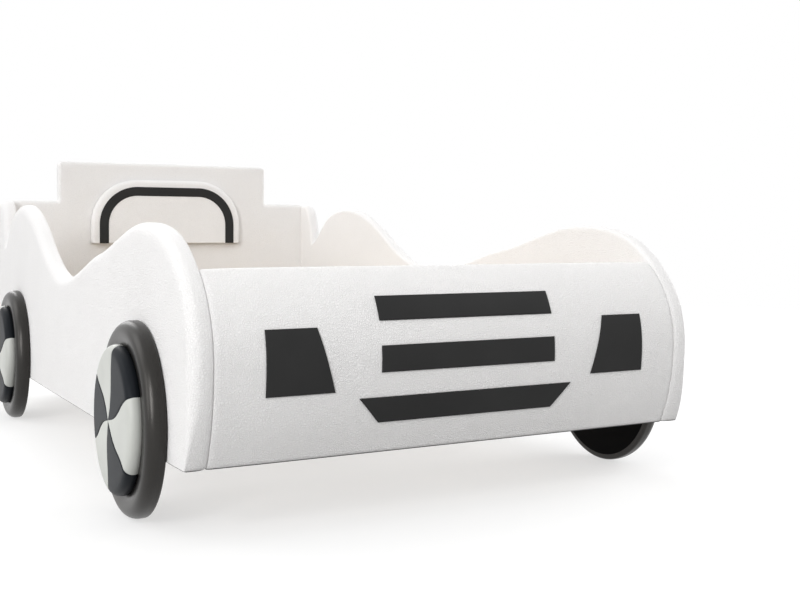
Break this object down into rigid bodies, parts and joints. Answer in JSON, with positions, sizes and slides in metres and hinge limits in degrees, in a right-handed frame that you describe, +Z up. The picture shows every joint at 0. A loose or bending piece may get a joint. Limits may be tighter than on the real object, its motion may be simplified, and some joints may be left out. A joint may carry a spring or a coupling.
{
  "type": "car bed for children",
  "caption": "Padded children's bed shaped as a car, with wing-line sides, a rounded nose, disc wheels, a stepped headboard with a window pad and a slatted base.",
  "frame": {"origin": "on the floor under the middle of the bed's outer box", "axes": "+X across the bed to its right side as seen from the foot end, +Y from the nose to the headboard, +Z up"},
  "size_m": [0.992, 1.703, 0.637],
  "materials": {
    "white_leather": "satin pebbled eco-leather over foam",
    "dark_leather": "smooth satin eco-leather",
    "tyre_leather": "smooth satin eco-leather over foam",
    "hub_white": "smooth satin eco-leather over foam",
    "hub_black": "smooth satin eco-leather over foam",
    "chipboard": "raw particle board",
    "black_board": "black-faced particle board",
    "plywood": "sanded birch plywood",
    "pine": "planed",
    "zinc": "zinc plated",
    "dark_plastic": "matte"
  },
  "bodies": {
    "root": {"side_board_left": "chipboard", "side_board_right": "chipboard", "side_cover_left": "white_leather", "side_cover_right": "white_leather", "nose_board": "plywood", "nose_cover": "white_leather", "grille_bar_low": "dark_leather", "grille_bar_middle": "dark_leather", "grille_bar_top": "dark_leather", "lamp_left": "dark_leather", "lamp_right": "dark_leather", "head_board": "chipboard", "head_cover": "white_leather", "window_pad": "white_leather", "window_band": "dark_leather", "wheel_board_front_left": "black_board", "tyre_front_left": "tyre_leather", "hub_light_front_left": "hub_white", "hub_dark_front_left": "hub_black", "wheel_board_front_right": "black_board", "tyre_front_right": "tyre_leather", "hub_light_front_right": "hub_white", "hub_dark_front_right": "hub_black", "wheel_board_rear_left": "black_board", "tyre_rear_left": "tyre_leather", "hub_light_rear_left": "hub_white", "hub_dark_rear_left": "hub_black", "wheel_board_rear_right": "black_board", "tyre_rear_right": "tyre_leather", "hub_light_rear_right": "hub_white", "hub_dark_rear_right": "hub_black", "wheel_bolts": "zinc", "side_rail_left": "pine", "side_rail_right": "pine", "foot_rail": "pine", "head_rail": "pine", "middle_beam": "pine", "slat_1": "plywood", "slat_2": "plywood", "slat_3": "plywood", "slat_4": "plywood", "slat_5": "plywood", "slat_6": "plywood", "slat_7": "plywood", "slat_8": "plywood", "slat_9": "plywood", "slat_10": "plywood", "slat_11": "plywood", "slat_12": "plywood", "slat_13": "plywood", "leg_front": "pine", "leg_middle": "pine", "leg_rear": "pine", "leg_glides": "dark_plastic", "leg_bolts": "zinc", "corner_brackets": "zinc", "bracket_screws": "zinc", "rail_screws": "zinc"}
  },
  "joints": []
}
